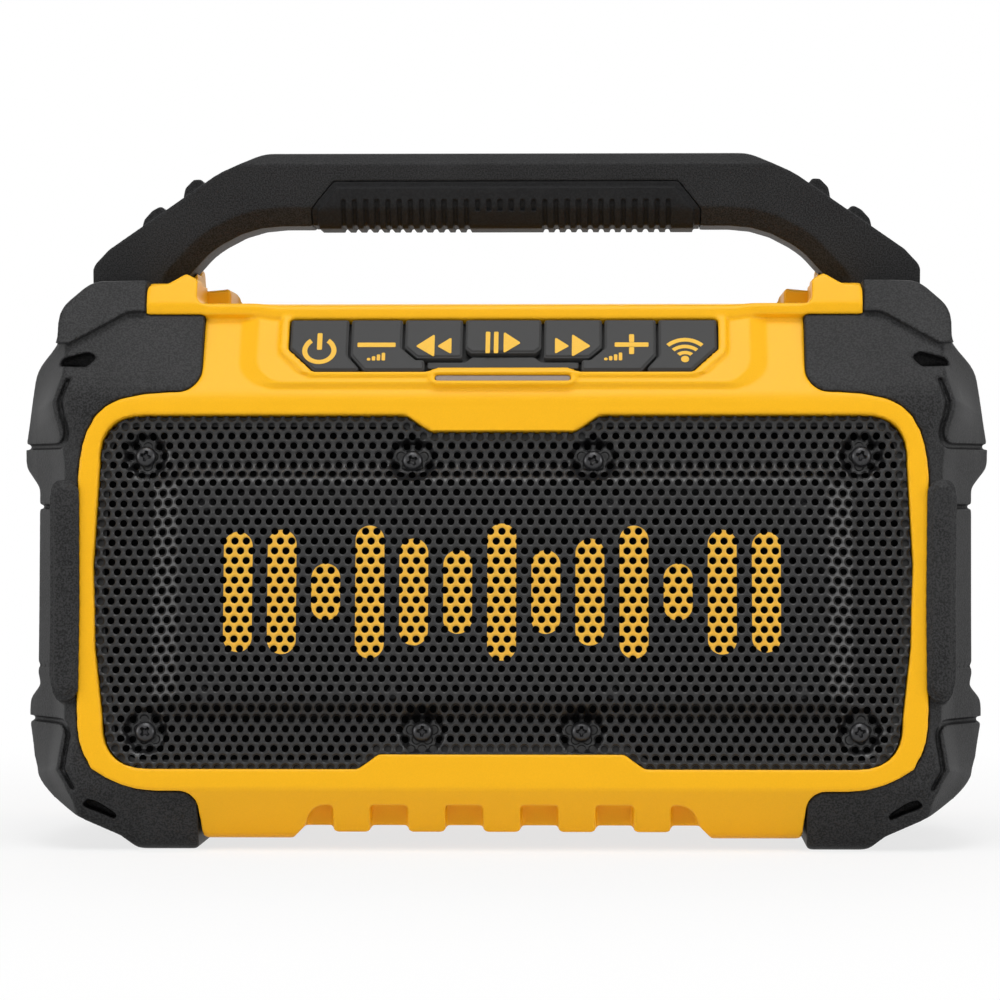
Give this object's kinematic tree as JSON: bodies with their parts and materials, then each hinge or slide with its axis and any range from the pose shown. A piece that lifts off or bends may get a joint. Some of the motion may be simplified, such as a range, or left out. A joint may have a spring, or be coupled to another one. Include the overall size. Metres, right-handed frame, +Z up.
{
  "type": "jobsite loudspeaker",
  "caption": "Rugged portable stereo loudspeaker with perforated front grille, sloped keypad, carry handle, rubber corner bumpers and a rear battery bay.",
  "frame": {"origin": "on the floor under the middle of the body, at the parting plane of the housing", "axes": "+Z up, +X to the right seen from the front, the front faces -Y"},
  "size_m": [0.263, 0.1188, 0.187],
  "materials": {
    "yellow_plastic": "satin moulded",
    "black_rubber": "matte",
    "black_plastic": "fine texture",
    "key_rubber": "matte",
    "grille_paint": "black powder coat",
    "zinc_steel": "zinc plated",
    "circuit_board": "solder mask",
    "brass_contact": "bare",
    "magnet_steel": "plated",
    "lens_plastic": "frosted",
    "foam_gasket": "foam",
    "cone_fabric": "pressed paper",
    "heatsink_aluminium": "extruded",
    "dark_plastic": "moulded"
  },
  "bodies": {
    "speaker": {"front_housing": "yellow_plastic", "rear_housing": "yellow_plastic", "left_bumper": "black_rubber", "right_bumper": "black_rubber", "handle": "black_plastic", "handle_grip": "black_rubber", "handle_bolts": "zinc_steel", "grille": "grille_paint", "grille_screws": "zinc_steel", "speaker_baffle": "black_plastic", "driver_screws": "zinc_steel", "keypad_mat": "key_rubber", "key_board": "circuit_board", "key_switches": "dark_plastic", "key_board_screws": "zinc_steel", "status_lens": "lens_plastic", "main_board": "circuit_board", "main_board_screws": "zinc_steel", "wireless_module": "zinc_steel", "amplifier_heatsink": "heatsink_aluminium", "supply_capacitors": "dark_plastic", "battery_cradle": "black_plastic", "terminal_block": "dark_plastic", "terminal_blades": "brass_contact", "port_panel": "black_plastic", "port_board": "circuit_board", "aux_jack": "dark_plastic", "usb_socket": "zinc_steel", "dc_inlet": "dark_plastic", "housing_screws": "zinc_steel", "left_driver_frame": "dark_plastic", "left_magnet": "magnet_steel", "left_surround": "black_rubber", "left_spider": "cone_fabric", "left_gasket": "foam_gasket", "right_driver_frame": "dark_plastic", "right_magnet": "magnet_steel", "right_surround": "black_rubber", "right_spider": "cone_fabric", "right_gasket": "foam_gasket"},
    "power_key": {"power_key": "key_rubber"},
    "volume_down_key": {"volume_down_key": "key_rubber"},
    "previous_key": {"previous_key": "key_rubber"},
    "play_pause_key": {"play_pause_key": "key_rubber"},
    "next_key": {"next_key": "key_rubber"},
    "volume_up_key": {"volume_up_key": "key_rubber"},
    "pairing_key": {"pairing_key": "key_rubber"},
    "left_cone": {"left_cone": "cone_fabric"},
    "right_cone": {"right_cone": "cone_fabric"},
    "port_cover": {"port_cover": "black_rubber"}
  },
  "joints": [
    {"name": "power_press", "type": "slide", "parent": "speaker", "child": "power_key", "axis": [0, 0.809, -0.5878], "range_m": [0, 0.0008], "stiffness_N_per_m": 900},
    {"name": "volume_down_press", "type": "slide", "parent": "speaker", "child": "volume_down_key", "axis": [0, 0.809, -0.5878], "range_m": [0, 0.0008], "stiffness_N_per_m": 900},
    {"name": "previous_press", "type": "slide", "parent": "speaker", "child": "previous_key", "axis": [0, 0.809, -0.5878], "range_m": [0, 0.0008], "stiffness_N_per_m": 900},
    {"name": "play_pause_press", "type": "slide", "parent": "speaker", "child": "play_pause_key", "axis": [0, 0.809, -0.5878], "range_m": [0, 0.0008], "stiffness_N_per_m": 900},
    {"name": "next_press", "type": "slide", "parent": "speaker", "child": "next_key", "axis": [0, 0.809, -0.5878], "range_m": [0, 0.0008], "stiffness_N_per_m": 900},
    {"name": "volume_up_press", "type": "slide", "parent": "speaker", "child": "volume_up_key", "axis": [0, 0.809, -0.5878], "range_m": [0, 0.0008], "stiffness_N_per_m": 900},
    {"name": "pairing_press", "type": "slide", "parent": "speaker", "child": "pairing_key", "axis": [0, 0.809, -0.5878], "range_m": [0, 0.0008], "stiffness_N_per_m": 900},
    {"name": "left_cone_stroke", "type": "slide", "parent": "speaker", "child": "left_cone", "axis": [0, -0.9914, 0.1305], "range_m": [-0.002, 0.002], "stiffness_N_per_m": 1200},
    {"name": "right_cone_stroke", "type": "slide", "parent": "speaker", "child": "right_cone", "axis": [0, -0.9914, 0.1305], "range_m": [-0.002, 0.002], "stiffness_N_per_m": 1200},
    {"name": "port_cover_hinge", "type": "hinge", "parent": "speaker", "child": "port_cover", "pos_m": [0.0756, 0.0576, 0.048], "axis": [-1, 0, 0], "range_deg": [0, 100], "stiffness_Nm_per_rad": 0.002}
  ]
}
